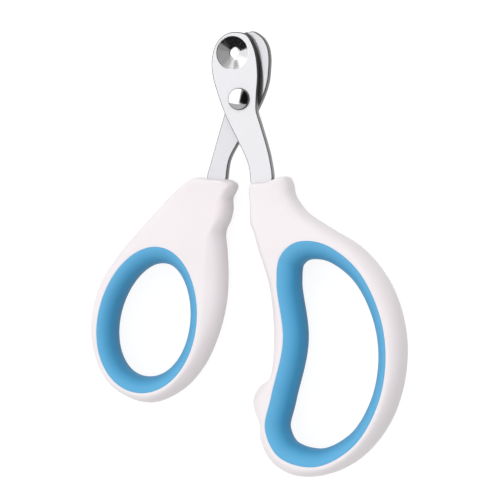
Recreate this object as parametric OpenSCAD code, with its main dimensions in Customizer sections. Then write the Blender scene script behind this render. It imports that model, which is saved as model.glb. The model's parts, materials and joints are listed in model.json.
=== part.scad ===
// Pet nail trimmer: two stamped steel blades on a rivet, white handles
// moulded over their tangs, and a soft liner in each finger loop.
//
// Every outline is drawn about the pivot: X to the right, Y towards the
// blade tips, Z = 0 where the two blades meet. to_rest() then stands the
// trimmer on the backs of its handles, over the middle of its box.

/* [Blades] */
// Thickness of each steel blade
blade_t = 2.1; // [1.8:0.1:2.3]
// Running gap between the two blade faces
blade_gap = 0.04; // [0.02:0.01:0.08]
// Width of the ground bevel behind the cutting edge
bevel_w = 3.2; // [2:0.1:4]
// Thickness left at the cutting edge
edge_land = 0.15; // [0.1:0.05:0.4]

/* [Claw hole] */
// Radius of the hole the claw is put through
hole_r = 1.5; // [1.3:0.05:1.6]
// Radius of the funnel at the front face
funnel_r = 5; // [4:0.1:5.2]
// Length of straight wall left at the bottom of the funnel
hole_land = 0.5; // [0.3:0.05:0.8]

/* [Pivot rivet] */
// Radius of the shank
shank_r = 2; // [1.6:0.1:2.2]
// Radial clearance of the shank in the rear blade
shank_clearance = 0.05; // [0.02:0.01:0.1]
// Radius of the domed head
head_r = 3.25; // [2.8:0.05:3.5]
// Height of the domed head
head_h = 1.15; // [0.9:0.05:1.6]
// Slope of the dome where it meets its shoulder
dome_tilt = 18; // [12:1:24]
// Radius of the rounded shoulder
shoulder_r = 0.15; // [0.1:0.05:0.4]
// Radius of the formed tail
tail_r = 2.9; // [2.6:0.05:3.2]
// Height of the formed tail
tail_h = 0.9; // [0.6:0.1:1.2]
// Chamfer round the formed tail
tail_chamfer = 0.5; // [0.2:0.1:0.6]
// Outer radius of the washer under the tail
washer_r = 3.8; // [3.4:0.1:4.2]
// Thickness of the washer
washer_t = 0.5; // [0.3:0.05:0.7]

/* [Handles] */
// Half of the handles' thickness at the finger loops
loop_half = 6.7; // [6:0.1:7.5]
// Half of the handles' thickness at the blade end
collar_half = 5.2; // [4.6:0.1:6]
// Distance below the pivot at which the handles begin to get thinner
taper_from = 46; // [44:1:50]
// Distance below the pivot at which they reach the blade-end thickness
taper_to = 27; // [26:1:34]
// Power that squares the rounded sides at the blade end: 1 is an ellipse
collar_power = 0.6; // [0.5:0.05:1]
// Length of the blade tangs inside the handles
tang_len = 13; // [12:0.5:14]
// Radius of the plastic peg moulded through each tang
peg_r = 1.25; // [1:0.05:1.5]

/* [Soft liners] */
// How far the thumb liner swells into its loop at the sides
thumb_swell = 3.8; // [3:0.1:4.4]
// How far the thumb liner swells at the ends of its loop
thumb_swell_end = 4.9; // [4:0.1:5.4]
// How far the finger liner swells into its loop at the sides
finger_swell = 4.5; // [3.6:0.1:5]
// How far the finger liner swells at the ends of its loop
finger_swell_end = 5.4; // [4.4:0.1:5.8]
// Extra swell on the side nearer the other handle
inner_side_extra = 0.6; // [0:0.1:0.8]

/* [Smoothness] */
// Steps between two control points of a handle outline
loop_steps = 4; // [3:1:5]
// Steps in the rounded edge from front to back
roll_steps = 10; // [8:2:14]
// Steps between two points of a blade outline
blade_steps = 5; // [4:1:8]

/* [Hidden] */
$fn = 64;

STEEL = [0.80, 0.80, 0.82];
CHROME = [0.88, 0.88, 0.90];
WHITE = [0.95, 0.94, 0.95];
BLUE = [0.33, 0.65, 0.86];

// The pivot's place over the middle of the trimmer's box
pivot_at = [-2.1, 45.5];
// Centre of the claw hole
hole_at = [-2.1, 13.65];
// The cutting edge lies on a line that leaves the X axis at edge_x and leans
// edge_angle to the left of +Y, and runs from edge_from to edge_to along it.
edge_x = 0.4;
edge_angle = 3.7;
edge_from = 8.5;
edge_to = 19.4;
// How far a cutter reaches past what it cuts
over = 1;

// Centres of the plastic pegs through the two tangs
finger_peg = [7.4, -33.5];
thumb_peg = [-10.6, -33.0];

// Front blade, clockwise from its top: head, right side down to the
// handle, then the left side back up.
front_points = [
    [-2.0, 19.8], [2.2, 19.0], [4.3, 16.0], [5.4, 12.4], [5.9, 7.0], [5.5, 0.6], [5.5, -3.6],
    [6.5, -6.8], [8.6, -13.4], [9.7, -17.6], [10.4, -24.0], [9.0, -26.0], [9.8, -34.0],
    [8.6, -24 - tang_len], [6.2, -24 - tang_len], [4.8, -34.0], [4.0, -26.0], [3.5, -24.0],
    [3.3, -21.4], [2.3, -17.8], [-0.4, -12.4], [-4.5, -4.4], [-7.3, 3.0], [-8.4, 7.0],
    [-8.7, 11.5], [-7.4, 16.2], [-5.0, 18.8]
];

// Rear blade, clockwise from the top of its cutting edge.
rear_points = [
    [2.6, 19.9], [6.0, 18.6], [8.0, 15.8], [8.7, 12.4], [8.6, 8.6], [8.2, 5.2], [7.0, 1.4],
    [4.8, -3.2], [1.4, -8.8], [-1.2, -12.8], [-4.0, -18.0], [-5.0, -24.0], [-5.5, -26.0],
    [-8.0, -34.0], [-9.2, -23.6 - tang_len], [-11.8, -23.4 - tang_len], [-12.4, -33.0],
    [-10.0, -25.4], [-11.0, -23.2], [-9.7, -18.2], [-7.0, -9.2], [-5.4, -4.0], [-4.6, 0.4],
    [-2.6, 5.0]
];

// Crest of the finger loop, clockwise from its upper left corner: the
// line where the white handle meets the liner, on both faces.
finger_crest = [
    [14.6, -46.4], [19.4, -42.3], [27.9, -42.7], [38.2, -49.8], [45.2, -62.4], [47.4, -76.0],
    [44.8, -90.0], [37.2, -102.0], [25.4, -108.0], [14.2, -105.2], [9.9, -97.2], [11.8, -87.5],
    [15.5, -71.0], [13.5, -54.0]
];

// Stations around the finger handle, clockwise from the left corner of
// its blade end: outer edge x and y, then the place on the crest that
// faces it, counted in crest points. Where the flat face is wider than the
// land, the x and y of its edge follow.
finger_stations = [
    [4.2, -24.9, -0.16, 5.4, -26.2],
    [9.2, -24.5, -0.09, 8.2, -25.7],
    [14.4, -22.9, -0.03, 10.6, -25.2],
    [15.6, -24.8, 0.06, 11.3, -27.2],
    [16.4, -28.2, 0.25, 12.5, -31.0],
    [20.0, -33.0, 0.75, 17.0, -35.8],
    [27.0, -37.5, 1.60, 24.4, -40.0],
    [37.8, -44.0, 2.80],
    [46.4, -54.5, 3.55],
    [50.8, -68.0, 4.50],
    [50.4, -82.0, 5.45],
    [45.8, -95.0, 6.35],
    [37.4, -105.0, 7.20],
    [27.4, -110.2, 7.95],
    [17.4, -110.8, 8.70],
    [10.4, -107.0, 9.25],
    [7.0, -100.5, 9.75],
    [6.8, -96.0, 10.15],
    [4.9, -92.2, 10.50],
    [4.2, -88.6, 10.80],
    [6.2, -84.8, 11.15],
    [9.8, -82.2, 11.35],
    [10.8, -77.0, 11.65],
    [10.9, -66.0, 12.35],
    [9.6, -55.0, 12.95],
    [7.4, -47.6, 13.30, 10.6, -48.8],
    [5.6, -42.4, 13.60, 8.8, -43.4],
    [5.1, -39.6, 13.66, 7.3, -39.2],
    [4.0, -37.0, 13.70, 6.2, -36.0],
    [3.9, -31.0, 13.76, 5.6, -31.0],
    [3.6, -27.0, 13.80, 5.3, -28.0]
];
finger_turn = len(finger_crest);

// Crest of the thumb loop: an egg on this centre, its long axis leaning
// to the right, and a little wider below the middle.
thumb_centre = [-27.4, -65.2];
thumb_radii = [15.7, 21.9];
thumb_lean = 12;
thumb_egg = -0.06;

// Stations around the thumb handle, in the same form, with the place on
// the crest as an angle clockwise from the top of the egg.
thumb_stations = [
    [-13.8, -23.1, -6, -13.2, -24.6],
    [-8.8, -23.5, 8, -8.9, -24.9],
    [-3.6, -23.9, 20, -5.5, -25.5],
    [-2.1, -25.3, 27, -5.0, -27.1],
    [-3.7, -29.0, 32, -6.2, -30.2],
    [-3.6, -32.2, 35, -6.5, -33.2],
    [-4.4, -35.6, 38, -7.2, -36.4],
    [-5.9, -38.8, 42, -8.4, -39.6],
    [-5.2, -44.6, 54, -9.1, -45.6],
    [-4.8, -53.0, 70, -9.4, -54.0],
    [-5.5, -61.0, 88, -10.1, -62.0],
    [-8.2, -70.0, 97],
    [-12.6, -78.5, 118],
    [-19.6, -86.0, 142],
    [-28.6, -89.8, 168],
    [-37.6, -87.0, 200],
    [-43.6, -80.5, 220],
    [-46.6, -72.0, 245],
    [-46.6, -63.0, 268],
    [-43.8, -54.0, 291],
    [-37.8, -45.0, 316],
    [-28.8, -35.5, 330, -25.4, -37.4],
    [-19.8, -26.8, 342, -17.2, -29.4]
];
thumb_turn = 360;

// Width of the flat land between the crest and the rolled edge
land = 0.7;
// Share of a turn on each side of a place that gives the crest's direction
nearby = 1 / 2000;

// ---- Curves ----

// One point of a centripetal Catmull-Rom span from p1 to p2, f in 0..1.
function blend(a, b, ta, tb, t) = ((tb - t) * a + (t - ta) * b) / (tb - ta);
function span_point(p0, p1, p2, p3, f) =
    let (t1 = sqrt(norm(p1 - p0)), t2 = t1 + sqrt(norm(p2 - p1)), t3 = t2 + sqrt(norm(p3 - p2)),
         t = t1 + (t2 - t1) * f,
         a = blend(p0, p1, 0, t1, t), b = blend(p1, p2, t1, t2, t), c = blend(p2, p3, t2, t3, t))
    blend(blend(a, b, 0, t2, t), blend(b, c, t1, t3, t), t1, t2, t);

// Point of a closed curve through pts at place u, counted in points.
function curve_point(pts, u) =
    let (n = len(pts), i = floor(u), at = function (k) pts[((i + k) % n + n) % n])
    span_point(at(-1), at(0), at(1), at(2), u - i);

function closed_curve(pts, steps) =
    [for (i = [0 : len(pts) - 1], k = [0 : steps - 1]) curve_point(pts, i + k / steps)];

// The same curve from the first point to the last, without the span between them.
function open_curve(pts, steps) =
    [for (i = [0 : (len(pts) - 1) * steps]) curve_point(pts, i / steps)];

// The two crests, as functions of the place on them.
finger_at = function (u) curve_point(finger_crest, u);
thumb_at = function (p)
    let (x = thumb_radii.x * sin(p) * (1 + thumb_egg * cos(p)), y = thumb_radii.y * cos(p))
    thumb_centre + [x * cos(thumb_lean) + y * sin(thumb_lean),
                    y * cos(thumb_lean) - x * sin(thumb_lean)];

// Points along the crest, the same number as along the outer edge.
function crest_curve(stations, at, turn) =
    [for (i = [0 : len(stations) - 1], k = [0 : loop_steps - 1])
        let (here = stations[i][2],
             next = i == len(stations) - 1 ? stations[0][2] + turn : stations[i + 1][2])
        at(here + (next - here) * k / loop_steps)];

function outer_curve(stations) = closed_curve([for (s = stations) [s[0], s[1]]], loop_steps);

// Edge of the flat face, where the roll begins.
function rim_point(s, at, turn) =
    let (d = at(s[2] + turn * nearby) - at(s[2] - turn * nearby))
    len(s) > 3 ? [s[3], s[4]] : at(s[2]) + land * [-d.y, d.x] / norm(d);
function rim_curve(stations, at, turn) =
    closed_curve([for (s = stations) rim_point(s, at, turn)], loop_steps);

// Unit normals pointing into a clockwise closed curve.
function inward(curve) =
    [for (i = [0 : len(curve) - 1])
        let (n = len(curve), d = curve[(i + 1) % n] - curve[(i + n - 1) % n])
        [d.y, -d.x] / norm(d)];

finger_crest_curve = crest_curve(finger_stations, finger_at, finger_turn);
thumb_crest_curve = crest_curve(thumb_stations, thumb_at, thumb_turn);

// A handle's value at height y, from its value at the loops to that at the blade end.
function tapered(at_loop, at_blade, y) =
    let (t = max(0, min(1, (y + taper_from) / (taper_from - taper_to))))
    at_loop + (at_blade - at_loop) * t * t * (3 - 2 * t);
function half_at(y) = tapered(loop_half, collar_half, y);
// A sine or cosine round the handle's side, squared off towards the blade end.
function side_at(v, y) = sign(v) * pow(abs(v), tapered(1, collar_power, y));

// ---- Solids ----

// A closed ring: sections are its cross-sections in order around it.
module ring_solid(sections) {
    n = len(sections);
    k = len(sections[0]);
    polyhedron(
        points = [for (s = sections) each s],
        faces = [for (i = [0 : n - 1], j = [0 : k - 1])
            let (a = i * k + j, b = i * k + (j + 1) % k,
                 c = (i + 1) % n * k + (j + 1) % k, d = (i + 1) % n * k + j)
            each [[a, c, b], [a, d, c]]]);
}

// White shell of one handle: a flat face from the crest to the rim, then a
// quarter-round roll to the outer edge, the same front and back.
module handle_shell(stations, at, turn) {
    outer = outer_curve(stations);
    rim = rim_curve(stations, at, turn);
    crest = crest_curve(stations, at, turn);
    ring_solid([for (i = [0 : len(crest) - 1])
        let (y = rim[i].y, crest_h = half_at(crest[i].y))
        [[crest[i].x, crest[i].y, -crest_h],
         for (k = [0 : roll_steps])
             let (a = -90 + 180 * k / roll_steps,
                  p = rim[i] + (outer[i] - rim[i]) * side_at(cos(a), y))
             [p.x, p.y, half_at(y) * side_at(sin(a), y)],
         [crest[i].x, crest[i].y, crest_h]]]);
}

// Soft liner: its outside is the wall of the loop, its inside swells in
// by side at the sides and by end at the two ends of the loop.
module loop_liner(crest, side, end, toward) {
    ins = inward(crest);
    ring_solid([for (i = [0 : len(crest) - 1])
        let (w = side + (end - side) * pow(ins[i].y, 2) + inner_side_extra * toward * ins[i].x)
        [for (k = [0 : roll_steps])
            let (a = 90 - 180 * k / roll_steps, p = crest[i] + ins[i] * w * cos(a))
            [p.x, p.y, half_at(crest[i].y) * sin(a)]]]);
}

module front_plate() {
    translate([0, 0, blade_gap / 2])
        linear_extrude(blade_t) polygon(closed_curve(front_points, blade_steps));
}

// The straight cutting edge replaces the left side of the rear head.
module rear_plate() {
    translate([0, 0, -blade_gap / 2 - blade_t])
        linear_extrude(blade_t)
            polygon([
                for (along = [edge_from, edge_to])
                    [edge_x - along * sin(edge_angle), along * cos(edge_angle)],
                each open_curve(rear_points, blade_steps)]);
}

module tang_peg(at) {
    translate([at.x, at.y, -loop_half]) cylinder(r = peg_r, h = 2 * loop_half);
}

// The wedge that grinds the bevel behind the cutting edge.
module bevel_wedge() {
    translate([edge_x, 0, 0]) rotate([0, 0, edge_angle])
        translate([0, edge_from, -blade_gap / 2])
            rotate([-90, 0, 0])
                linear_extrude(edge_to - edge_from + over)
                    polygon([[-over, edge_land], [0, edge_land], [bevel_w, blade_t],
                             [bevel_w, blade_t + over], [-over, blade_t + over]]);
}

// Stands the trimmer on its handles, with the pivot in its place.
module to_rest() {
    translate([pivot_at.x, pivot_at.y, loop_half]) children();
}

// ---- Sub-parts ----

module front_blade() {
    color(STEEL) to_rest() difference() {
        front_plate();
        cylinder(r = shank_r, h = 3 * blade_t, center = true);
        translate([hole_at.x, hole_at.y, 0]) {
            cylinder(r = hole_r, h = 3 * blade_t, center = true);
            translate([0, 0, blade_gap / 2 + hole_land])
                cylinder(r1 = hole_r, r2 = funnel_r, h = blade_t - hole_land);
        }
        tang_peg(finger_peg);
    }
}

module rear_blade() {
    color(STEEL) to_rest() difference() {
        rear_plate();
        cylinder(r = shank_r + shank_clearance, h = 3 * blade_t, center = true);
        bevel_wedge();
        tang_peg(thumb_peg);
    }
}

// One solid of revolution: domed head, shank and formed tail.
module pivot_rivet() {
    front_face = blade_t + blade_gap / 2;
    head_top = front_face + head_h;
    dome_r = shoulder_r + (head_r - shoulder_r) / sin(dome_tilt);
    shoulder_z = head_top - dome_r + (dome_r - shoulder_r) * cos(dome_tilt);
    washer_back = -front_face - blade_gap / 2 - washer_t;
    color(CHROME) to_rest() rotate_extrude() polygon([
        [0, washer_back - tail_h],
        [tail_r - tail_chamfer, washer_back - tail_h],
        [tail_r, washer_back - tail_h + tail_chamfer],
        [tail_r, washer_back],
        [shank_r, washer_back],
        [shank_r, front_face],
        [head_r, front_face],
        for (k = [0 : roll_steps])
            let (a = 90 + (dome_tilt - 90) * k / roll_steps)
            [head_r - shoulder_r * (1 - sin(a)), shoulder_z + shoulder_r * cos(a)],
        for (k = [1 : roll_steps])
            let (a = dome_tilt * (1 - k / roll_steps))
            [dome_r * sin(a), head_top - dome_r * (1 - cos(a))]
    ]);
}

module tail_washer() {
    color(CHROME) to_rest()
        translate([0, 0, -blade_t - blade_gap - washer_t])
            difference() {
                cylinder(r = washer_r, h = washer_t);
                translate([0, 0, -washer_t]) cylinder(r = shank_r, h = 3 * washer_t);
            }
}

module finger_handle() {
    color(WHITE) to_rest() difference() {
        handle_shell(finger_stations, finger_at, finger_turn);
        difference() {
            front_plate();
            tang_peg(finger_peg);
        }
    }
}

module thumb_handle() {
    color(WHITE) to_rest() difference() {
        handle_shell(thumb_stations, thumb_at, thumb_turn);
        difference() {
            rear_plate();
            tang_peg(thumb_peg);
        }
    }
}

module finger_liner() {
    color(BLUE) to_rest()
        loop_liner(finger_crest_curve, finger_swell, finger_swell_end, 1);
}

module thumb_liner() {
    color(BLUE) to_rest()
        loop_liner(thumb_crest_curve, thumb_swell, thumb_swell_end, 0);
}

front_blade();
rear_blade();
pivot_rivet();
tail_washer();
finger_handle();
thumb_handle();
finger_liner();
thumb_liner();
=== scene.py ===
"""Pet nail trimmer: the looks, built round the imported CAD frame.

Outlines are drawn in millimetres about the pivot, as the CAD draws them: X to the
right, Y towards the blade tips, Z = 0 where the two blades meet.
"""

import json
import math

import bmesh
import bpy
import numpy as np
from mathutils import Matrix, Vector
from mathutils.geometry import tessellate_polygon


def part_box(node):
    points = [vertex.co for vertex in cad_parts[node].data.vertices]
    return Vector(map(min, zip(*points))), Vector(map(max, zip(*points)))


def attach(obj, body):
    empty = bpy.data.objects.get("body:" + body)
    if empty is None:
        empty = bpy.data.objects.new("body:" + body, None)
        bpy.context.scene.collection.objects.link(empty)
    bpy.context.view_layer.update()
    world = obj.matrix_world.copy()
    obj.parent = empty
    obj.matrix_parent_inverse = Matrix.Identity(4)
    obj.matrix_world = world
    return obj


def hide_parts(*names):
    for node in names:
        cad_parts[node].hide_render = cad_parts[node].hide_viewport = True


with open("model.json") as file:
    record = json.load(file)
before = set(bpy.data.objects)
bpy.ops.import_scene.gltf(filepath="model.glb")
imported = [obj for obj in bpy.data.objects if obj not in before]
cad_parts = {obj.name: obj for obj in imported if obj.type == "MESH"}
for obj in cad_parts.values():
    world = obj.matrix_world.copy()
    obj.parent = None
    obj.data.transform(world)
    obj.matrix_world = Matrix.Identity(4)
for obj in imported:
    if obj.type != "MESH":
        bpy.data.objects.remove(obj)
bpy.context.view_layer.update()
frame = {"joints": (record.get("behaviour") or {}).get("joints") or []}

MM = 0.001
FRONT_SIDE = "finger_side"
REAR_SIDE = "thumb_side"

# ---- Sizes taken from the frame, in millimetres ----

PIVOT = np.array(frame["joints"][0]["pos_m"]) / MM


def node_box(node):
    """Lowest and highest corner of a CAD node, in the drawing frame."""
    low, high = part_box(node)
    return np.array(low) / MM - PIVOT, np.array(high) / MM - PIVOT


front_low, front_high = node_box("front_blade")
rear_low, rear_high = node_box("rear_blade")
rivet_low, rivet_high = node_box("pivot_rivet")
washer_low, washer_high = node_box("tail_washer")
LOOP_HALF = node_box("finger_handle")[1][2]
HEAD_R = rivet_high[0]
WASHER_R = washer_high[0]

# ---- Sizes the frame doesn't say, the same as in the CAD source ----

COLLAR_HALF = 5.2
COLLAR_POWER = 0.6
TAPER_FROM = 46
TAPER_TO = 27
LAND = 0.7
TANG_LEN = 13
HOLE_AT = np.array([-2.1, 13.65])
HOLE_R = 1.5
FUNNEL_R = 5.0
HOLE_LAND = 0.5
SHANK_R = 2.0
SHANK_CLEARANCE = 0.05
TAIL_R = 2.9
PEG_R = 1.25
FINGER_PEG = np.array([7.4, -33.5])
THUMB_PEG = np.array([-10.6, -33.0])
EDGE_X = 0.4
EDGE_ANGLE = math.radians(3.7)
EDGE_FROM = 8.5
EDGE_TO = 19.4
EDGE_LAND = 0.15
BEVEL_W = 3.2
DOME_TILT = math.radians(18)
SHOULDER_R = 0.15

FRONT_POINTS = [
    (-2.0, 19.8), (2.2, 19.0), (4.3, 16.0), (5.4, 12.4), (5.9, 7.0), (5.5, 0.6), (5.5, -3.6),
    (6.5, -6.8), (8.6, -13.4), (9.7, -17.6), (10.4, -24.0), (9.0, -26.0), (9.8, -34.0),
    (8.6, -24 - TANG_LEN), (6.2, -24 - TANG_LEN), (4.8, -34.0), (4.0, -26.0), (3.5, -24.0),
    (3.3, -21.4), (2.3, -17.8), (-0.4, -12.4), (-4.5, -4.4), (-7.3, 3.0), (-8.4, 7.0),
    (-8.7, 11.5), (-7.4, 16.2), (-5.0, 18.8),
]
REAR_POINTS = [
    (2.6, 19.9), (6.0, 18.6), (8.0, 15.8), (8.7, 12.4), (8.6, 8.6), (8.2, 5.2), (7.0, 1.4),
    (4.8, -3.2), (1.4, -8.8), (-1.2, -12.8), (-4.0, -18.0), (-5.0, -24.0), (-5.5, -26.0),
    (-8.0, -34.0), (-9.2, -23.6 - TANG_LEN), (-11.8, -23.4 - TANG_LEN), (-12.4, -33.0),
    (-10.0, -25.4), (-11.0, -23.2), (-9.7, -18.2), (-7.0, -9.2), (-5.4, -4.0), (-4.6, 0.4),
    (-2.6, 5.0),
]
FINGER_CREST = [
    (14.6, -46.4), (19.4, -42.3), (27.9, -42.7), (38.2, -49.8), (45.2, -62.4), (47.4, -76.0),
    (44.8, -90.0), (37.2, -102.0), (25.4, -108.0), (14.2, -105.2), (9.9, -97.2), (11.8, -87.5),
    (15.5, -71.0), (13.5, -54.0),
]
# Stations round a handle: outer edge x and y, the place on the crest that
# faces it, and the flat face's edge where it isn't LAND outside the crest.
FINGER_STATIONS = [
    (4.2, -24.9, -0.16, 5.4, -26.2),
    (9.2, -24.5, -0.09, 8.2, -25.7),
    (14.4, -22.9, -0.03, 10.6, -25.2),
    (15.6, -24.8, 0.06, 11.3, -27.2),
    (16.4, -28.2, 0.25, 12.5, -31.0),
    (20.0, -33.0, 0.75, 17.0, -35.8),
    (27.0, -37.5, 1.60, 24.4, -40.0),
    (37.8, -44.0, 2.80),
    (46.4, -54.5, 3.55),
    (50.8, -68.0, 4.50),
    (50.4, -82.0, 5.45),
    (45.8, -95.0, 6.35),
    (37.4, -105.0, 7.20),
    (27.4, -110.2, 7.95),
    (17.4, -110.8, 8.70),
    (10.4, -107.0, 9.25),
    (7.0, -100.5, 9.75),
    (6.8, -96.0, 10.15),
    (4.9, -92.2, 10.50),
    (4.2, -88.6, 10.80),
    (6.2, -84.8, 11.15),
    (9.8, -82.2, 11.35),
    (10.8, -77.0, 11.65),
    (10.9, -66.0, 12.35),
    (9.6, -55.0, 12.95),
    (7.4, -47.6, 13.30, 10.6, -48.8),
    (5.6, -42.4, 13.60, 8.8, -43.4),
    (5.1, -39.6, 13.66, 7.3, -39.2),
    (4.0, -37.0, 13.70, 6.2, -36.0),
    (3.9, -31.0, 13.76, 5.6, -31.0),
    (3.6, -27.0, 13.80, 5.3, -28.0),
]
FINGER_TURN = len(FINGER_CREST)

THUMB_CENTRE = np.array([-27.4, -65.2])
THUMB_RADII = (15.7, 21.9)
THUMB_LEAN = math.radians(12)
THUMB_EGG = -0.06
THUMB_STATIONS = [
    (-13.8, -23.1, -6, -13.2, -24.6),
    (-8.8, -23.5, 8, -8.9, -24.9),
    (-3.6, -23.9, 20, -5.5, -25.5),
    (-2.1, -25.3, 27, -5.0, -27.1),
    (-3.7, -29.0, 32, -6.2, -30.2),
    (-3.6, -32.2, 35, -6.5, -33.2),
    (-4.4, -35.6, 38, -7.2, -36.4),
    (-5.9, -38.8, 42, -8.4, -39.6),
    (-5.2, -44.6, 54, -9.1, -45.6),
    (-4.8, -53.0, 70, -9.4, -54.0),
    (-5.5, -61.0, 88, -10.1, -62.0),
    (-8.2, -70.0, 97),
    (-12.6, -78.5, 118),
    (-19.6, -86.0, 142),
    (-28.6, -89.8, 168),
    (-37.6, -87.0, 200),
    (-43.6, -80.5, 220),
    (-46.6, -72.0, 245),
    (-46.6, -63.0, 268),
    (-43.8, -54.0, 291),
    (-37.8, -45.0, 316),
    (-28.8, -35.5, 330, -25.4, -37.4),
    (-19.8, -26.8, 342, -17.2, -29.4),
]
THUMB_TURN = 360

THUMB_SWELL = (3.8, 4.9, 0.0)
FINGER_SWELL = (4.5, 5.4, 0.6)

# ---- Fineness of the meshes, and details too small for the CAD ----

STATION_STEPS = 12
ROLL_STEPS = 28
FACE_STEPS = 10
BLADE_STEPS = 16
ROUND_STEPS = 4
CIRCLE_STEPS = 160
EDGE_ROUND = 0.25
BEVEL_STEPS = 6
RUN_OUT = 2.5
SEAM_ROUND = 0.14
# A handle's rounded side ends this many degrees above the middle plane.
SIDE_END = 2
SHARP_ANGLE = math.radians(32)
# The parting line begins PARTING_FOOT above the middle plane and stands out by
# PARTING_HEIGHT on it.
PARTING_FOOT = 0.2
PARTING_START = 0.001
PARTING_HEIGHT = 0.035
# The flat border between a plate's rounded edge and its cap, and the same round a hole.
CAP_BORDER = 0.15
HOLE_BORDER = 0.3
FUNNEL_LIP = 0.05
HOLE_LIP = 0.02
LAND_ROUND = 0.03
EDGE_STEPS = 40
CORNER_STEPS = 10
CUTTING_ROUND = 0.015
BEVEL_MARGIN = 0.1
DOME_STEPS = 25
SHOULDER_STEPS = 9
# The rim of the rivet's head, painted dark grey as painted shade round the head's edge.
RIM_W = 0.25
HEAD_LIP = 0.08
TAIL_LIP = 0.05
TAIL_ROUND = 0.5
DIMPLE_R = 1.1
DIMPLE_DEPTH = 0.18
WASHER_LIP = 0.08
# Painted shade on the rear blade's face, a dark crescent beside the front blade where shade
# falls between the blades: the outer width W of a disc, which fades out over END along Y.
# FRONT keeps it off the back of the blade.
GAP_SHADE_CENTRE = (-18.1, 4.8)
GAP_SHADE_R = 25.0
GAP_SHADE_W = 3.0
GAP_SHADE_SOFT = 0.1
GAP_SHADE_END = (-8.0, -6.0)
GAP_SHADE_FRONT = (-1.0, -0.5)
GAP_SHADE_GREY = 0.17
# Heights between which the blades' arms pass into their heads, where the edges' painted shade
# round the heads fades in.
ARM_TO_HEAD = (-3.5, -1.0)
# Most of a noise's values lie between these, so a material's range runs over them.
NOISE_LOW = 0.3
NOISE_HIGH = 0.7

# ---- Light and floor ----

# What the metal mirrors: a white tent of this brightness, with cards hung in it. A card
# is a polygon on a ceiling one unit above, anticlockwise, then brightness and softness.
TENT = 2.0
FAR = 60
# A direction below this height is taken to meet the ceiling as if at this height.
HORIZON = 0.02
CARDS = [
    ([(-0.22, -FAR), (FAR, -FAR), (FAR, FAR), (-0.22, FAR)], 0.6, 0.04),
    ([(0.3, -FAR), (FAR, -FAR), (FAR, -0.35), (0.3, -0.35)], 0.3, 0.3),
    ([(-0.6, 1.0), (FAR, 1.0), (FAR, FAR), (-0.6, FAR)], 1.12, 0.4),
    ([(0.8, -FAR), (FAR, -FAR), (FAR, FAR), (0.8, FAR)], 0.25, 0.1),
    ([(-FAR, -0.3), (-2.2, -0.3), (-2.2, 0.8), (-FAR, 0.8)], 1.5, 0.3),
    ([(-3.4, -1.6), (0.9, -1.6), (0.34, -0.52), (-3.4, -0.26)], 0.02, 0.1),
    ([(-0.33, -0.24), (0.2, -0.24), (0.2, 0.66), (-0.06, 0.66)], 0.01, 0.1),
    ([(-0.1, -0.3), (0.42, -0.3), (0.44, 0.15), (0.3, 0.42), (0.08, 0.66), (0.05, 0.66)],
     0.01, 0.06),
    ([(-1.6, -0.8), (-0.35, -0.85), (0.14, -0.68), (0.4, -0.31), (-1.6, -0.22)], 0.68, 0.03),
    ([(-1.35, 1.0), (-0.68, 1.0), (-0.68, 1.4), (-1.35, 1.4)], 0.55, 0.1),
]
# Soft lamps for everything that isn't a mirror: direction towards the lamp, strength,
# spread in degrees. The one below stands for the light that a table throws back.
FILLS = [
    ("fill_above", (0.0, 0.0, 1.0), 1.78, 110),
    ("fill_left", (-1.0, 0.0, 0.18), 1.3, 90),
    ("fill_right", (1.0, 0.1, 0.32), 1.1, 60),
    ("fill_ahead", (0.0, 1.0, 0.3), 1.4, 80),
    ("fill_near", (0.0, -1.0, 0.22), 0.9, 90),
    ("fill_below", (0.0, 0.0, -1.0), 0.15, 140),
]
FLOOR_HALF = 6.0
FLOOR_Z = -0.0001

# ---- Curves ----


def curve_at(points, places):
    """Points of a closed centripetal Catmull-Rom curve, at places counted in points."""
    pts = np.asarray(points, float)
    made = []
    for u in places:
        i = math.floor(u)
        p = [pts[(i + k) % len(pts)] for k in (-1, 0, 1, 2)]
        t = [0.0]
        for a, b in zip(p, p[1:]):
            t.append(t[-1] + math.sqrt(np.linalg.norm(b - a)))
        here = t[1] + (t[2] - t[1]) * (u - i)
        a, b, c = (mix_at(p[k], p[k + 1], t[k], t[k + 1], here) for k in range(3))
        d, e = mix_at(a, b, t[0], t[2], here), mix_at(b, c, t[1], t[3], here)
        made.append(mix_at(d, e, t[1], t[2], here))
    return np.array(made)


def mix_at(a, b, ta, tb, t):
    return ((tb - t) * a + (t - ta) * b) / (tb - ta)


def closed_curve(points, steps):
    return curve_at(points, np.arange(len(points) * steps) / steps)


def open_curve(points, steps):
    return curve_at(points, np.arange((len(points) - 1) * steps + 1) / steps)


def inward(curve):
    """Unit normals pointing into a clockwise closed curve."""
    along = np.roll(curve, -1, 0) - np.roll(curve, 1, 0)
    normal = np.stack([along[:, 1], -along[:, 0]], 1)
    return normal / np.linalg.norm(normal, axis=1)[:, None]


def finger_at(places):
    return curve_at(FINGER_CREST, places)


def thumb_at(degrees):
    p = np.radians(degrees)
    x = THUMB_RADII[0] * np.sin(p) * (1 + THUMB_EGG * np.cos(p))
    y = THUMB_RADII[1] * np.cos(p)
    c, s = math.cos(THUMB_LEAN), math.sin(THUMB_LEAN)
    return THUMB_CENTRE + np.stack([x * c + y * s, y * c - x * s], 1)


def crest_of(stations, at, turn):
    """The crest, one point for each point of the handle's outer curve."""
    places = [s[2] for s in stations] + [stations[0][2] + turn]
    counted = np.arange(len(stations) * STATION_STEPS) / STATION_STEPS
    return at(np.interp(counted, np.arange(len(places)), places))


def rim_of(stations, at, turn):
    """Edge of the flat face, where the rounded side begins."""
    points = []
    nudge = turn / 2000
    for s in stations:
        if len(s) > 3:
            points.append(s[3:])
            continue
        before, here, after = at(np.array([s[2] - nudge, s[2], s[2] + nudge]))
        d = after - before
        points.append(here + LAND * np.array([-d[1], d[0]]) / np.linalg.norm(d))
    return closed_curve(points, STATION_STEPS)


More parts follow.
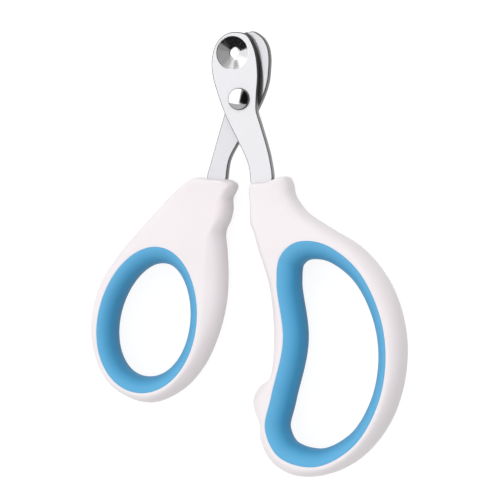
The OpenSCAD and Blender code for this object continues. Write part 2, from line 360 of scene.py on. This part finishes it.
def tapered(at_loop, at_blade, y):
    """A handle's value at height y, from its value at the loops to that at the blade end."""
    t = np.clip((y + TAPER_FROM) / (TAPER_FROM - TAPER_TO), 0, 1)
    return at_loop + (at_blade - at_loop) * t * t * (3 - 2 * t)


def half_at(y):
    return tapered(LOOP_HALF, COLLAR_HALF, y)


def side_at(v, y):
    """A sine or cosine round the handle's side, squared off towards the blade end."""
    return v ** tapered(1, COLLAR_POWER, y)


# ---- Meshes ----


class Mesh:
    """Vertices in the drawing frame, and faces with a material number each."""

    def __init__(self):
        self.points = []
        self.faces = []
        self.numbers = []

    def ring(self, points):
        start = len(self.points)
        self.points.extend(tuple(p) for p in points)
        return list(range(start, len(self.points)))

    def face(self, corners, number=0):
        self.faces.append(corners)
        self.numbers.append(number)

    def bridge(self, a, b, number=0):
        """Band of faces; where both rings share a corner, the face closes up."""
        for i in range(len(a)):
            j = (i + 1) % len(a)
            corners = list(dict.fromkeys([a[i], a[j], b[j], b[i]]))
            if len(corners) > 2:
                self.face(corners, number)

    def bridges(self, rings, number=0):
        for a, b in zip(rings, rings[1:]):
            self.bridge(a, b, number)

    def fan(self, ring, tip, number=0):
        apex = self.ring([tip])[0]
        for i in range(len(ring)):
            self.face([ring[i], ring[(i + 1) % len(ring)], apex], number)

    def fill(self, loops, number=0):
        """Flat cap between an outline and the holes in it."""
        flat = [i for loop in loops for i in loop]
        shape = [[Vector(self.points[i]) for i in loop] for loop in loops]
        for corners in tessellate_polygon(shape):
            self.face([flat[i] for i in corners], number)

    def piece(self, name, body, node, slot, materials):
        """Makes the Blender object, hangs it on its body, and hides the CAD part that it
        replaces.
        """
        mesh = bpy.data.meshes.new(name)
        mesh.from_pydata([tuple((np.array(p) + PIVOT) * MM) for p in self.points], [], self.faces)
        for material in materials:
            mesh.materials.append(material)
        mesh.polygons.foreach_set("material_index", self.numbers)
        bm = bmesh.new()
        bm.from_mesh(mesh)
        bmesh.ops.recalc_face_normals(bm, faces=bm.faces)
        bm.to_mesh(mesh)
        bm.free()
        mesh.shade_smooth()
        mesh.set_sharp_from_angle(angle=SHARP_ANGLE)
        piece = bpy.data.objects.new(name, mesh)
        bpy.context.scene.collection.objects.link(piece)
        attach(piece, body)
        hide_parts(node)
        return piece


def at_height(curve, z):
    """The plane curve as points in space; z is one height, or one for each point."""
    return np.column_stack([curve, np.broadcast_to(z, len(curve))])


def circle(centre, radius, z):
    a = np.arange(CIRCLE_STEPS) * 2 * math.pi / CIRCLE_STEPS
    return np.column_stack([
        centre[0] + radius * np.sin(a), centre[1] + radius * np.cos(a), np.full(CIRCLE_STEPS, z)])


# ---- Materials ----


class Paint:
    """A principled material, with short ways to add the nodes that vary it."""

    def __init__(self, name, **sockets):
        self.material = bpy.data.materials.new(name)
        self.material.use_nodes = True
        self.tree = self.material.node_tree
        self.shader = self.tree.nodes["Principled BSDF"]
        for socket, value in sockets.items():
            self.shader.inputs[socket.replace("_", " ")].default_value = value

    def node(self, kind, **inputs):
        """A new node; an input is given by its name, or as i and its number."""
        made = self.tree.nodes.new(kind)
        for name, value in inputs.items():
            socket = made.inputs[int(name[1:]) if name[1:].isdigit() else name]
            if isinstance(value, bpy.types.NodeSocket):
                self.tree.links.new(value, socket)
            else:
                socket.default_value = value
        return made

    def place(self, scale, centre=(0, 0, 0)):
        """Object coordinates about a point of the drawing frame, times scale per millimetre."""
        mapping = self.node("ShaderNodeMapping", Vector=self.tree.nodes.new(
            "ShaderNodeTexCoord").outputs["Object"])
        mapping.vector_type = "POINT"
        per_metre = np.broadcast_to(scale, 3) / MM
        mapping.inputs["Scale"].default_value = tuple(per_metre)
        mapping.inputs["Location"].default_value = tuple(
            -(PIVOT + np.array(centre)) * MM * per_metre)
        return mapping.outputs["Vector"]

    def noise(self, scale, detail, roughness=0.5):
        made = self.node("ShaderNodeTexNoise", Vector=self.place(scale), Scale=1.0,
                         Detail=detail, Roughness=roughness)
        return made.outputs["Fac"]

    def between(self, value, low, high, from_low=NOISE_LOW, from_high=NOISE_HIGH):
        """From low to high as the value goes from from_low to from_high."""
        made = self.node("ShaderNodeMapRange", Value=value)
        for name, number in (("From Min", from_low), ("From Max", from_high),
                             ("To Min", low), ("To Max", high)):
            made.inputs[name].default_value = number
        return made.outputs["Result"]

    def math(self, operation, a, b=0.0):
        made = self.tree.nodes.new("ShaderNodeMath")
        made.operation = operation
        for socket, value in zip(made.inputs, (a, b)):
            if isinstance(value, bpy.types.NodeSocket):
                self.tree.links.new(value, socket)
            else:
                socket.default_value = value
        return made.outputs["Value"]

    def colours(self, value, low, high):
        """The shader's colour, from low to high as the value goes over the noise's range."""
        ramp = self.node("ShaderNodeValToRGB", Fac=value)
        ends = (NOISE_LOW, low), (NOISE_HIGH, high)
        for element, (place, colour) in zip(ramp.color_ramp.elements, ends):
            element.position = place
            element.color = (*colour, 1)
        self.tree.links.new(ramp.outputs["Color"], self.shader.inputs["Base Color"])

    def darken(self, share, shade):
        """Takes the shader's colour that share of the way to a grey."""
        colour = self.shader.inputs["Base Color"].links[0].from_socket
        made = self.node("ShaderNodeMix", i0=share, i6=colour, i7=(shade, shade, shade, 1))
        made.data_type = "RGBA"
        self.tree.links.new(made.outputs[2], self.shader.inputs["Base Color"])

    def roughen(self, value):
        self.tree.links.new(value, self.shader.inputs["Roughness"])

    def reach(self, centre):
        """Distance in millimetres from the line through centre along Z."""
        made = self.node("ShaderNodeVectorMath", i0=self.place((1, 1, 0), centre=(*centre, 0)))
        made.operation = "LENGTH"
        return made.outputs["Value"]

    def axis(self, name, scale=1.0):
        """One coordinate, times scale per millimetre."""
        split = self.node("ShaderNodeSeparateXYZ", Vector=self.place(scale))
        return split.outputs[name]

    def bump(self, height, depth):
        """Bump of that depth in millimetres."""
        made = self.node("ShaderNodeBump", Height=height, Strength=1.0, Distance=depth * MM)
        self.tree.links.new(made.outputs["Normal"], self.shader.inputs["Normal"])


def blade_face_paint(name, metal, shade, polish):
    """Brushed stainless steel: metal is the share that mirrors, polish the least roughness."""
    paint = Paint(name, Metallic=metal)
    grain = paint.noise((7.0, 0.16, 7.0), detail=4.0, roughness=0.65)
    smudge = paint.noise(0.09, detail=3.0)
    light = shade + 0.03
    paint.colours(smudge, (shade, shade, shade + 0.025), (light, light, shade + 0.05))
    paint.roughen(paint.math("ADD", paint.between(grain, polish, polish + 0.08),
                             paint.between(smudge, 0.0, 0.05)))
    paint.bump(grain, 0.0012)
    return paint


def rear_face_paint():
    """The same steel, with a dark crescent beside the front blade painted on as the shade between
    the blades.
    """
    paint = blade_face_paint("rear_face", metal=0.66, shade=0.59, polish=0.15)
    # Painted shade: the face goes towards a dark grey in a crescent beside the front blade.
    away = paint.reach(GAP_SHADE_CENTRE)
    share = paint.math(
        "MULTIPLY",
        paint.between(away, 0, 1, GAP_SHADE_R - GAP_SHADE_W, GAP_SHADE_R - GAP_SHADE_W / 2),
        paint.between(away, 1, 0, GAP_SHADE_R - GAP_SHADE_SOFT, GAP_SHADE_R + GAP_SHADE_SOFT))
    share = paint.math("MULTIPLY", share, paint.between(paint.axis("Y"), 0, 1, *GAP_SHADE_END))
    share = paint.math("MULTIPLY", share, paint.between(paint.axis("Z"), 0, 1, *GAP_SHADE_FRONT))
    paint.darken(share, GAP_SHADE_GREY)
    return paint


def edge_paint(name, arm_shade, painted_head_shade):
    """Stamped edge of the steel, with shear marks across it; its arm and head can differ, the
    head's darker grey being painted shade for the dark band between the blades.
    """
    paint = Paint(name, Metallic=1.0)
    shear = paint.noise((5.0, 5.0, 0.5), detail=4.0, roughness=0.6)
    # Painted shade: the edge's grey goes from the arm's to the darker head's between the
    # ARM_TO_HEAD heights.
    painted_shade_and_noise = paint.math("ADD", paint.between(paint.axis("Y"), 0.65, 0.35, *ARM_TO_HEAD),
                      paint.between(shear, -0.05, 0.05))
    paint.colours(painted_shade_and_noise, (painted_head_shade,) * 3, (arm_shade,) * 3)
    paint.roughen(paint.between(shear, 0.34, 0.5))
    paint.bump(shear, 0.01)
    return paint.material


def bevel_paint():
    """Ground bevel, with the wheel's marks across the cutting edge."""
    paint = Paint("blade_bevel", Metallic=1.0)
    marks = paint.noise((0.3, 9.0, 0.3), detail=4.0, roughness=0.6)
    paint.colours(marks, (0.56, 0.56, 0.575), (0.66, 0.66, 0.67))
    paint.roughen(paint.between(marks, 0.2, 0.3))
    paint.bump(marks, 0.003)
    return paint.material


def funnel_paint():
    """Polished funnel with the faint rings of the tool that turned it."""
    paint = Paint("blade_funnel", Metallic=1.0)
    rings = paint.math("SINE", paint.math("MULTIPLY", paint.reach(HOLE_AT), 42.0))
    wear = paint.noise(0.7, detail=3.0)
    paint.colours(wear, (0.62, 0.62, 0.63), (0.68, 0.68, 0.69))
    paint.roughen(paint.between(wear, 0.06, 0.11))
    paint.bump(rings, 0.0006)
    return paint.material


def rivet_paint():
    """Mirror-polished steel with the finest of handling scratches."""
    paint = Paint("rivet_polish", Metallic=1.0)
    scratch = paint.noise((1.2, 14.0, 1.2), detail=5.0, roughness=0.7)
    wear = paint.noise(0.5, detail=3.0)
    paint.colours(wear, (0.72, 0.72, 0.73), (0.78, 0.78, 0.79))
    paint.roughen(paint.between(scratch, 0.03, 0.07))
    paint.bump(scratch, 0.0002)
    return paint.material


def plastic_paint():
    """White moulded plastic, satin, with the mould's fine texture."""
    paint = Paint("handle_plastic", IOR=1.5)
    tint = paint.noise(0.05, detail=3.0)
    grain = paint.noise(2.2, detail=4.0, roughness=0.6)
    paint.colours(tint, (0.865, 0.81, 0.835), (0.885, 0.835, 0.86))
    paint.roughen(paint.between(grain, 0.30, 0.40))
    paint.bump(grain, 0.006)
    return paint.material


def liner_paint():
    """Soft blue elastomer, matt, with a fine grain; darker towards the middle of its wall, as
    painted shade for the loop's recess.
    """
    paint = Paint("liner_rubber", IOR=1.45, Specular_IOR_Level=0.25, Sheen_Weight=0.03,
                  Sheen_Roughness=0.5)
    tint = paint.noise(0.06, detail=3.0)
    grain = paint.noise(4.0, detail=4.0, roughness=0.6)
    # Painted shade: the wall darkens towards the middle plane, deep in the loop where shade
    # falls.
    height = paint.math("ABSOLUTE", paint.axis("Z", 1 / LOOP_HALF))
    painted_shade_and_noise = paint.math("ADD", paint.between(height, NOISE_LOW, NOISE_HIGH, 0.5, 1.0),
                      paint.between(tint, -0.03, 0.03))
    paint.colours(painted_shade_and_noise, (0.052, 0.31, 0.55), (0.12, 0.432, 0.715))
    paint.roughen(paint.between(grain, 0.46, 0.6))
    paint.bump(grain, 0.01)
    return paint.material


# ---- Pieces ----


def section_rings(sections):
    """A closed ring solid from its cross-sections, each the same number of points."""
    made = Mesh()
    rings = [made.ring(s) for s in sections]
    made.bridges(rings + rings[:1])
    return made


def handle(name, body, node, stations, at, turn, paint):
    """White shell: a small round at the liner, a flat face, and a rounded side."""
    outer = closed_curve([s[:2] for s in stations], STATION_STEPS)
    rim = rim_of(stations, at, turn)
    crest = crest_of(stations, at, turn)
    seam = crest - SEAM_ROUND * inward(crest)
    sections = []
    for c, s, r, o in zip(crest, seam, rim, outer):
        top = []
        for q in np.radians(np.linspace(0, 90, ROUND_STEPS + 1)[:-1]):
            p = c + (s - c) * (1 - math.cos(q))
            top.append((*p, half_at(c[1]) - SEAM_ROUND * (1 - math.sin(q))))
        for f in np.arange(FACE_STEPS) / FACE_STEPS:
            p = s + (r - s) * f
            top.append((*p, half_at(p[1])))
        for q in np.radians(np.linspace(90, SIDE_END, ROLL_STEPS // 2)):
            p = r + (o - r) * side_at(max(math.cos(q), 0), r[1])
            top.append((*p, half_at(r[1]) * side_at(math.sin(q), r[1])))
        out = (o - r) / np.linalg.norm(o - r)
        top.append((*(o + out * PARTING_START), PARTING_FOOT))
        bottom = [(x, y, -z) for x, y, z in reversed(top)]
        sections.append(top + [(*(o + out * PARTING_HEIGHT), 0.0)] + bottom)
    return section_rings(sections).piece(name, body, node, "handle_plastic", [paint])


def liner(name, body, node, stations, at, turn, swell, paint):
    """Soft liner: an elliptical roll from the crest into the loop."""
    crest = crest_of(stations, at, turn)
    ins = inward(crest)
    side, end, extra = swell
    sections = []
    for c, n in zip(crest, ins):
        w = side + (end - side) * n[1] ** 2 + extra * n[0]
        h = half_at(c[1])
        top = []
        for q in np.radians(np.linspace(0, 90, ROUND_STEPS + 1)[:-1]):
            p = c + n * SEAM_ROUND * (1 - math.cos(q))
            top.append((*p, h - SEAM_ROUND * (1 - math.sin(q))))
        first = math.acos(SEAM_ROUND / w)
        for q in np.linspace(first, 0, ROLL_STEPS // 2 + 1)[:-1]:
            p = c + n * w * math.cos(q)
            top.append((*p, h * math.sin(q)))
        bottom = [(x, y, -z) for x, y, z in reversed(top)]
        sections.append(top + [(*(c + n * w), 0.0)] + bottom)
    return section_rings(sections).piece(name, body, node, "liner_rubber", [paint])


def plate_rings(made, curve, low, high, rounds):
    """Wall of a plate with both edges rounded, and the rings that its caps fill."""
    ins = inward(curve)
    rounds = np.broadcast_to(rounds, len(curve))[:, None]
    low = np.broadcast_to(low, len(curve))
    border = curve + ins * (rounds + CAP_BORDER)
    rings = [made.ring(at_height(border, high))]
    turns = np.linspace(0, math.pi / 2, ROUND_STEPS + 1)
    for end, way, order in ((high, -1, turns), (low, 1, turns[::-1])):
        for q in order:
            rings.append(made.ring(np.column_stack([
                curve + ins * rounds * (1 - math.sin(q)),
                end + way * rounds[:, 0] * (1 - math.cos(q))])))
    rings.append(made.ring(at_height(border, low)))
    made.bridge(rings[0], rings[1], 0)
    made.bridges(rings[1:-1], 1)
    made.bridge(rings[-2], rings[-1], 0)
    return rings[0], rings[-1]


def bore(made, centre, radius, low, high):
    """Straight hole; gives its top and bottom ring."""
    top, bottom = (made.ring(circle(centre, radius, z)) for z in (high, low))
    made.bridge(top, bottom, 1)
    return top, bottom


def funnel(made, centre, low, high):
    """Funnel with a crisp rim, a straight land and a sharp lower edge."""
    foot = low + HOLE_LAND
    profile = [(FUNNEL_R + HOLE_BORDER, high, 0), (FUNNEL_R + FUNNEL_LIP, high, 0),
               (FUNNEL_R - FUNNEL_LIP, high - HOLE_LIP, 2)]
    for f in np.linspace(0.04, 0.97, 6):
        profile.append((FUNNEL_R + (HOLE_R - FUNNEL_R) * f, high + (foot - high) * f, 2))
    profile += [(HOLE_R, foot - LAND_ROUND, 2), (HOLE_R, low + HOLE_LIP, 1),
                (HOLE_R + HOLE_LIP, low, 0), (HOLE_R + HOLE_BORDER, low, 0)]
    rings = [made.ring(circle(centre, r, z)) for r, z, _ in profile]
    for a, b, (_, _, number) in zip(rings, rings[1:], profile[1:]):
        made.bridge(a, b, number)
    return rings[0], rings[-1]


def front_blade(paints):
    low, high = front_low[2], front_high[2]
    made = Mesh()
    outline = plate_rings(made, closed_curve(FRONT_POINTS, BLADE_STEPS), low, high, EDGE_ROUND)
    holes = [funnel(made, HOLE_AT, low, high), bore(made, (0, 0), SHANK_R, low, high),
             bore(made, FINGER_PEG, PEG_R, low, high)]
    for side in (0, 1):
        made.fill([outline[side]] + [h[side] for h in holes])
    return made.piece("front_blade_steel", FRONT_SIDE, "front_blade", "blade_steel", paints)


def rear_blade(paints):
    """Rear blade; behind its straight cutting edge the back is ground to a bevel."""
    low, high = rear_low[2], rear_high[2]
    edge = np.array([-math.sin(EDGE_ANGLE), math.cos(EDGE_ANGLE)])
    inwards = np.array([edge[1], -edge[0]])
    foot = np.array([EDGE_X, 0])
    along = foot + np.linspace(EDGE_FROM, EDGE_TO, EDGE_STEPS)[:, None] * edge
    corner = np.linspace(along[-1], REAR_POINTS[0], CORNER_STEPS)[1:-1]
    curve = np.vstack([along, corner, open_curve(REAR_POINTS, BLADE_STEPS)])
    behind = (curve - foot) @ inwards
    run = np.clip(((curve - foot) @ edge - EDGE_FROM) / RUN_OUT, 0, 1)
    ground = np.where(behind < BEVEL_W - BEVEL_MARGIN, run * run * (3 - 2 * run), 0)
    left = EDGE_LAND + (high - low - EDGE_LAND) * np.clip(behind / BEVEL_W, 0, 1)
    wall_low = low + ground * (high - low - left)
    rounds = np.where(ground > 0, CUTTING_ROUND, EDGE_ROUND)
    made = Mesh()
    top, rim = plate_rings(made, curve, wall_low, high, rounds)
    rings = [rim]
    for f in np.arange(1, BEVEL_STEPS + 1) / BEVEL_STEPS:
        ring = []
        for i, share in zip(rim, ground):
            here = np.array(made.points[i])
            reach = (BEVEL_W - (here[:2] - foot) @ inwards) * share
            goal = np.array([*(here[:2] + inwards * reach), low])
            ring.append(made.ring([here + (goal - here) * f])[0] if share > 0 else i)
        rings.append(ring)
    made.bridges(rings, 2)
    holes = [bore(made, (0, 0), SHANK_R + SHANK_CLEARANCE, low, high),
             bore(made, THUMB_PEG, PEG_R, low, high)]
    for side, outline in enumerate((top, rings[-1])):
        made.fill([outline] + [h[side] for h in holes])
    return made.piece("rear_blade_steel", REAR_SIDE, "rear_blade", "blade_steel", paints)


def lathe(profile, rim_r):
    """Solid of revolution about the pivot, from a profile that starts and ends on the axis.

    What lies outside rim_r gets the second material.
    """
    made = Mesh()
    rings = [made.ring(circle((0, 0), r, z)) for r, z in profile[1:-1]]
    for a, b, (r, _), (s, _) in zip(rings, rings[1:], profile[1:], profile[2:]):
        made.bridge(a, b, int(min(r, s) > rim_r))
    made.fan(rings[0], (0, 0, profile[0][1]))
    made.fan(rings[-1], (0, 0, profile[-1][1]))
    return made


def pivot_rivet(paints):
    """Domed head, shank, and a tail formed by spinning, with its centre dimple."""
    face, top = front_high[2], rivet_high[2]
    back, tip = washer_low[2], rivet_low[2]
    dome_r = SHOULDER_R + (HEAD_R - SHOULDER_R) / math.sin(DOME_TILT)
    profile = [(0, top)]
    for q in np.linspace(0, DOME_TILT, DOME_STEPS)[1:]:
        profile.append((dome_r * math.sin(q), top - dome_r * (1 - math.cos(q))))
    bend = top - dome_r + (dome_r - SHOULDER_R) * math.cos(DOME_TILT)
    for q in np.linspace(DOME_TILT, math.pi / 2, SHOULDER_STEPS)[1:]:
        profile.append((HEAD_R - SHOULDER_R * (1 - math.sin(q)), bend + SHOULDER_R * math.cos(q)))
    profile += [(HEAD_R, face + HEAD_LIP), (HEAD_R - HEAD_LIP, face),
                (SHANK_R, face), (SHANK_R, back),
                (TAIL_R - TAIL_LIP, back), (TAIL_R, back - TAIL_LIP), (TAIL_R, tip + TAIL_ROUND)]
    for q in np.radians(np.linspace(15, 90, 6)):
        profile.append((TAIL_R - TAIL_ROUND + TAIL_ROUND * math.cos(q),
                        tip + TAIL_ROUND - TAIL_ROUND * math.sin(q)))
    for f in np.linspace(1, 0, 9)[:-1]:
        profile.append((DIMPLE_R * f, tip + DIMPLE_DEPTH * (1 - f * f) ** 2))
    profile.append((0, tip + DIMPLE_DEPTH))
    return lathe(profile, HEAD_R - RIM_W).piece(
        "rivet_polished", FRONT_SIDE, "pivot_rivet", "rivet_steel", paints)


def tail_washer(paint):
    """Plain washer with rounded edges."""
    low, high = washer_low[2], washer_high[2]
    flat_r = WASHER_R - WASHER_LIP
    bend = WASHER_LIP * 0.3
    profile = [(SHANK_R, low), (SHANK_R, high), (flat_r - 0.1, high), (flat_r, high),
               (WASHER_R - bend, high - bend), (WASHER_R, high - WASHER_LIP),
               (WASHER_R, low + WASHER_LIP), (WASHER_R - bend, low + bend),
               (flat_r, low), (flat_r - 0.1, low)]
    made = Mesh()
    rings = [made.ring(circle((0, 0), r, z)) for r, z in profile]
    made.bridges(rings + rings[:1])
    return made.piece("washer_steel", FRONT_SIDE, "tail_washer", "rivet_steel", [paint])


# ---- Studio ----


def floor():
    """Pale light table under the trimmer."""
    corners = [(x * FLOOR_HALF, y * FLOOR_HALF, FLOOR_Z)
               for x, y in ((-1, -1), (1, -1), (1, 1), (-1, 1))]
    mesh = bpy.data.meshes.new("floor")
    mesh.from_pydata(corners, [], [(0, 1, 2, 3)])
    paint = Paint("floor_acrylic", Base_Color=(0.2, 0.2, 0.2, 1), Roughness=0.6,
                  Emission_Color=(1, 1, 1, 1), Emission_Strength=0.88)
    mesh.materials.append(paint.material)
    table = bpy.data.objects.new("floor", mesh)
    bpy.context.scene.collection.objects.link(table)
    table.visible_diffuse = False
    table.visible_shadow = False


def studio_light():
    """White tent with the dark and grey parts that polished metal shows, and a soft fill."""
    world = bpy.data.worlds.new("studio")
    bpy.context.scene.world = world
    world.use_nodes = True
    tree = world.node_tree
    tree.nodes.clear()

    def do(operation, *values):
        made = tree.nodes.new("ShaderNodeMath")
        made.operation = operation
        for socket, value in zip(made.inputs, values):
            if isinstance(value, bpy.types.NodeSocket):
                tree.links.new(value, socket)
            else:
                socket.default_value = value
        return made.outputs[0]

    split = tree.nodes.new("ShaderNodeSeparateXYZ")
    tree.links.new(tree.nodes.new("ShaderNodeTexCoord").outputs["Generated"], split.inputs[0])
    x, y, z = split.outputs
    up = do("MAXIMUM", z, HORIZON)
    ceiling = tree.nodes.new("ShaderNodeCombineXYZ")
    tree.links.new(do("DIVIDE", x, up), ceiling.inputs[0])
    tree.links.new(do("DIVIDE", y, up), ceiling.inputs[1])
    ceiling.inputs[2].default_value = 1.0

    def beside(start, end, soft):
        """1 on the left of the line from start to end, 0 on its right."""
        normal = np.array([start[1] - end[1], end[0] - start[0]])
        normal = normal / np.linalg.norm(normal)
        dot = tree.nodes.new("ShaderNodeVectorMath")
        dot.operation = "DOT_PRODUCT"
        tree.links.new(ceiling.outputs[0], dot.inputs[0])
        dot.inputs[1].default_value = (*normal, -normal @ np.array(start))
        made = tree.nodes.new("ShaderNodeMapRange")
        made.interpolation_type = "SMOOTHSTEP"
        tree.links.new(dot.outputs["Value"], made.inputs["Value"])
        made.inputs["From Min"].default_value = -soft
        made.inputs["From Max"].default_value = soft
        return made.outputs["Result"]

    level = TENT
    for corners, brightness, soft in CARDS:
        inside = 1.0
        for start, end in zip(corners, corners[1:] + corners[:1]):
            inside = do("MULTIPLY", inside, beside(start, end, soft))
        level = do("ADD", do("MULTIPLY", inside, brightness),
                   do("MULTIPLY", do("SUBTRACT", 1.0, inside), level))

    light = tree.nodes.new("ShaderNodeBackground")
    tree.links.new(level, light.inputs["Strength"])
    seen = tree.nodes.new("ShaderNodeBackground")
    seen.inputs["Strength"].default_value = 1.0
    mix = tree.nodes.new("ShaderNodeMixShader")
    tree.links.new(tree.nodes.new("ShaderNodeLightPath").outputs["Is Camera Ray"], mix.inputs[0])
    tree.links.new(light.outputs[0], mix.inputs[1])
    tree.links.new(seen.outputs[0], mix.inputs[2])
    tree.links.new(mix.outputs[0], tree.nodes.new("ShaderNodeOutputWorld").inputs[0])

    world.cycles_visibility.diffuse = False
    for name, direction, strength, spread in FILLS:
        data = bpy.data.lights.new(name, "SUN")
        data.energy = strength
        data.angle = math.radians(spread)
        lamp = bpy.data.objects.new(name, data)
        lamp.rotation_euler = Vector(direction).to_track_quat("Z", "Y").to_euler()
        lamp.visible_glossy = False
        bpy.context.scene.collection.objects.link(lamp)
    bpy.context.scene.view_settings.view_transform = "Standard"


def camera():
    """Long lens, 21 degrees to the right of straight above, blade tips up."""
    yaw = math.radians(21)
    aim = Vector((0.54, 1.0, 6.7)) * MM
    width, distance = 147.5 * MM, 1.6
    data = bpy.data.cameras.new("camera")
    data.lens = data.sensor_width * distance / width
    data.clip_end = 50
    seen_from = Vector((math.sin(yaw), 0, math.cos(yaw)))
    right = Vector((math.cos(yaw), 0, -math.sin(yaw)))
    turn = Matrix((right, (0, 1, 0), seen_from)).transposed().to_4x4()
    made = bpy.data.objects.new("camera", data)
    bpy.context.scene.collection.objects.link(made)
    made.matrix_world = Matrix.Translation(aim + seen_from * distance) @ turn
    bpy.context.scene.camera = made


front_face = blade_face_paint("front_face", metal=0.5, shade=0.66, polish=0.15)
# The front edge's dark head grey is painted shade for the dark band beside the front blade's
# head.
front_edge = edge_paint("front_edge", arm_shade=0.28, painted_head_shade=0.085)
rear_edge = edge_paint("rear_edge", arm_shade=0.18, painted_head_shade=0.16)
# Painted shade: the rivet head's rim is dark grey for the shade round the head's edge.
rivet_rim_shade = edge_paint("rivet_rim_shade", arm_shade=0.2, painted_head_shade=0.2)
polish = rivet_paint()
white = plastic_paint()
blue = liner_paint()
finger_loop = (FINGER_STATIONS, finger_at, FINGER_TURN)
thumb_loop = (THUMB_STATIONS, thumb_at, THUMB_TURN)

front_blade([front_face.material, front_edge, funnel_paint()])
rear_blade([rear_face_paint().material, rear_edge, bevel_paint()])
pivot_rivet([polish, rivet_rim_shade])
tail_washer(polish)
handle("finger_handle_plastic", FRONT_SIDE, "finger_handle", *finger_loop, white)
handle("thumb_handle_plastic", REAR_SIDE, "thumb_handle", *thumb_loop, white)
liner("finger_liner_soft", FRONT_SIDE, "finger_liner", *finger_loop, FINGER_SWELL, blue)
liner("thumb_liner_soft", REAR_SIDE, "thumb_liner", *thumb_loop, THUMB_SWELL, blue)

floor()
studio_light()
camera()
